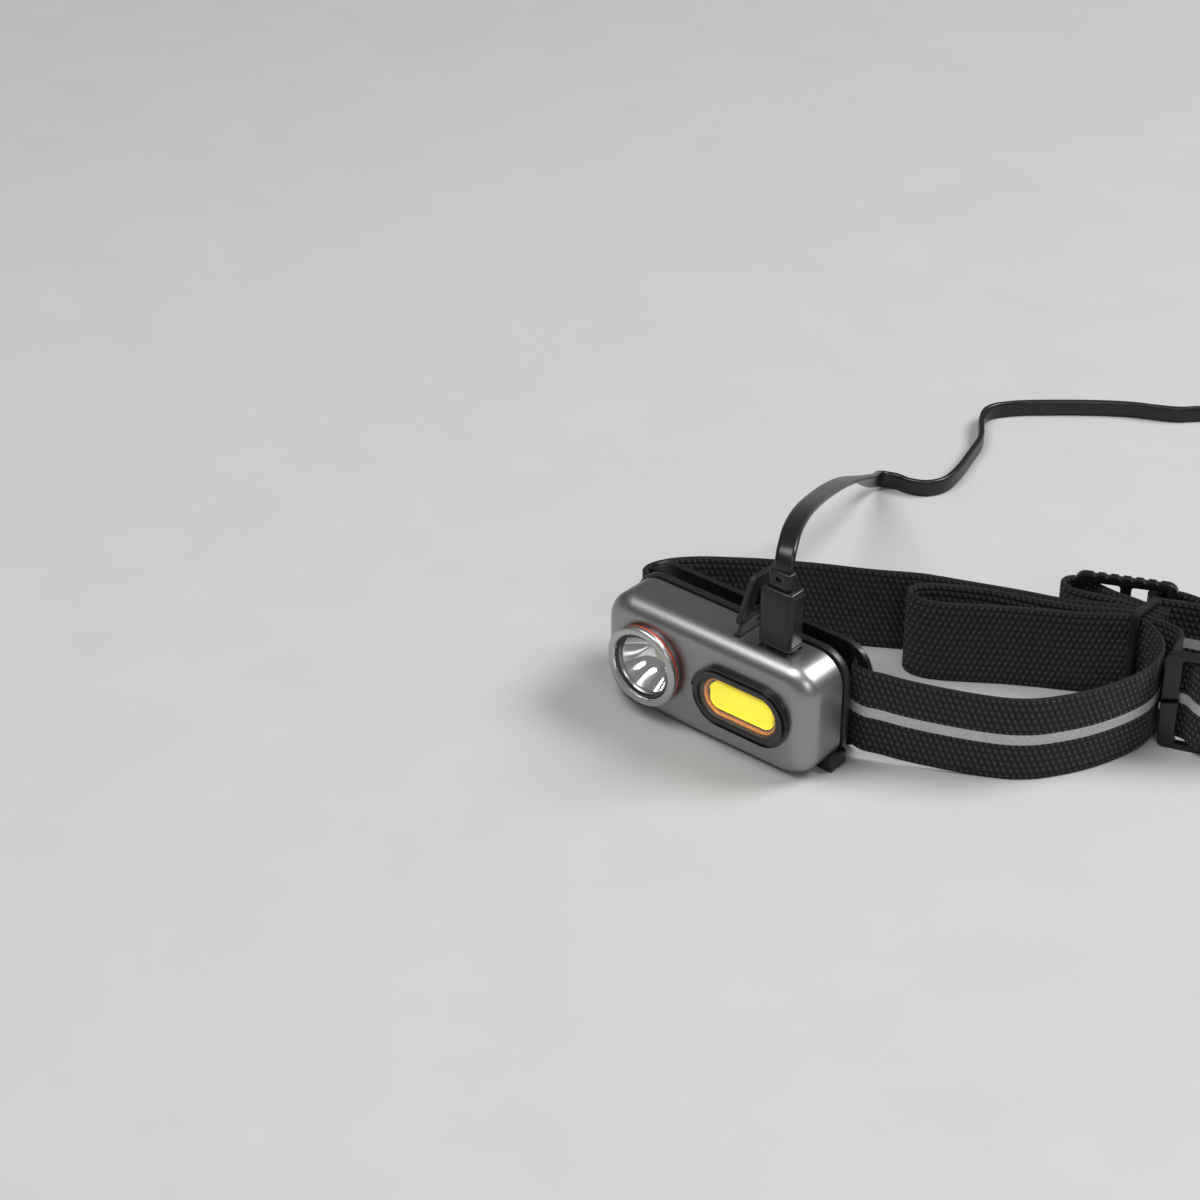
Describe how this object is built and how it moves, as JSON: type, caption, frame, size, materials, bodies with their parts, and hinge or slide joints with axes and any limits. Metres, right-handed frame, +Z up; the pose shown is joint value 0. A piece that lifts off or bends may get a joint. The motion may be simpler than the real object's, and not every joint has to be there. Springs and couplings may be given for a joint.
{
  "type": "headlamp",
  "caption": "Rechargeable headlamp with a round spot light, a long flood light, a tilting head, a folded elastic strap with buckles and a plugged-in charging cable.",
  "frame": {"origin": "middle of the head's flat underside, where it stands on the surface", "axes": "+X along the head to its flood-light end, +Y from the lamps towards the strap, +Z up"},
  "size_m": [0.1723, 0.273, 0.0629],
  "materials": {
    "shell_metal": "gunmetal grey, fine satin blast",
    "silver_metal": "silver, fine satin turned finish",
    "cover_plastic": "fine-grained dark plastic",
    "bezel_plastic": "smooth glossy black plastic",
    "bracket_plastic": "smooth black plastic",
    "buckle_plastic": "black moulded plastic with a slight sheen",
    "seal_rubber": "soft black rubber",
    "button_rubber": "soft black rubber",
    "cable_rubber": "smooth black cable sheath",
    "keeper_elastic": "black woven elastic",
    "strap_fabric": "dark grey woven elastic with a pale reflective line",
    "screw_steel": "plain steel",
    "pin_steel": "plain steel",
    "plug_metal": "bright nickel plating",
    "clear_lens": "clear polished plastic",
    "orange_anodised": "glossy orange-red",
    "mirror_bowl": "smooth metallised bowl",
    "led_yellow": "yellow phosphor",
    "board_aluminium": "satin metal-core board",
    "board_green": "green solder mask",
    "cell_foil": "dull foil",
    "foam": "soft dark foam"
  },
  "bodies": {
    "band": {"bracket": "bracket_plastic", "hinge_pin": "pin_steel", "head_strap_rear": "strap_fabric", "head_strap_front": "strap_fabric", "head_strap_fold": "strap_fabric", "wrap_strap": "strap_fabric", "adjust_strap": "strap_fabric", "rear_buckle": "buckle_plastic", "strap_slider": "buckle_plastic", "strap_keeper": "keeper_elastic"},
    "head": {"shell": "shell_metal", "gasket": "seal_rubber", "rear_cover": "cover_plastic", "cover_screws": "screw_steel", "spot_bezel": "silver_metal", "spot_lens": "clear_lens", "spot_ring": "orange_anodised", "reflector": "mirror_bowl", "spot_led": "led_yellow", "led_board": "board_aluminium", "flood_bezel": "bezel_plastic", "flood_lens": "clear_lens", "flood_liner": "orange_anodised", "cob_panel": "led_yellow", "cob_board": "board_aluminium", "main_board": "board_green", "battery": "cell_foil", "battery_foam": "foam", "usb_socket": "plug_metal", "tact_switch": "board_aluminium"},
    "button": {"button_cap": "button_rubber"},
    "flap": {"port_cover": "seal_rubber"},
    "plug": {"plug_body": "cable_rubber", "plug_tongue": "plug_metal", "strain_relief": "cable_rubber", "cable": "cable_rubber", "cable_coil": "cable_rubber", "coil_tie": "keeper_elastic", "usb_a_body": "cable_rubber", "usb_a_shell": "plug_metal"}
  },
  "joints": [
    {"name": "head_tilt", "type": "hinge", "parent": "band", "child": "head", "pos_m": [0, 0.0108, 0.0045], "axis": [1, 0, 0], "range_deg": [0, 60]},
    {"name": "button_press", "type": "slide", "parent": "head", "child": "button", "axis": [1, 0, 0], "range_m": [0, 0.0007], "stiffness_N_per_m": 600},
    {"name": "flap_swing", "type": "hinge", "parent": "head", "child": "flap", "pos_m": [0.007, 0, 0.0334], "axis": [0, -1, 0], "range_deg": [0, 60]},
    {"name": "plug_pull", "type": "slide", "parent": "head", "child": "plug", "axis": [0, 0, 1], "range_m": [0, 0.007]}
  ]
}
